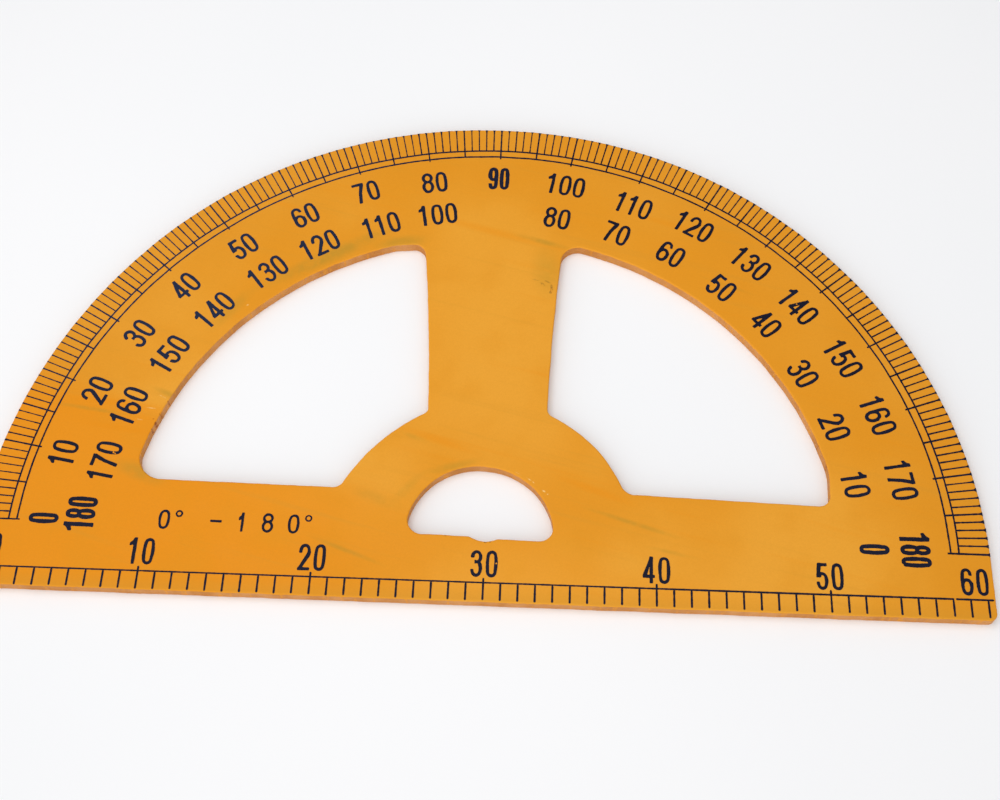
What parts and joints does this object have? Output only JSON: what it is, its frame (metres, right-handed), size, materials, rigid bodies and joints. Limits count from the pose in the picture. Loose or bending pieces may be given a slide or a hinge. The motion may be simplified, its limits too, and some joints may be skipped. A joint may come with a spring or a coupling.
{
  "type": "blackboard protractor",
  "caption": "Half-round wooden board protractor with printed degree scales, a straight ruled edge, two large finger windows and a half-round sighting hole at the angle centre.",
  "frame": {"origin": "centre of the degree scale, on the back face", "axes": "+X along the ruled edge towards the zero of the counter-clockwise scale, +Y towards 90 degrees, +Z out of the printed face"},
  "size_m": [0.5936, 0.3368, 0.0082],
  "materials": {
    "face_paint": "satin orange-yellow paint",
    "back_paint": "satin orange-yellow paint",
    "ply_edge": "thinly painted sawn plies",
    "scale_ink": "screen-printed ink"
  },
  "bodies": {
    "root": {"back_ply": "back_paint", "lower_crossband": "ply_edge", "core_ply": "ply_edge", "upper_crossband": "ply_edge", "face_ply": "face_paint", "degree_arcs": "scale_ink", "one_degree_ticks": "scale_ink", "five_degree_ticks": "scale_ink", "ten_degree_ticks": "scale_ink", "outer_degree_numbers": "scale_ink", "inner_degree_numbers": "scale_ink", "range_legend": "scale_ink", "rule_baseline": "scale_ink", "centimetre_ticks": "scale_ink", "ten_centimetre_ticks": "scale_ink", "rule_numbers": "scale_ink"}
  },
  "joints": []
}
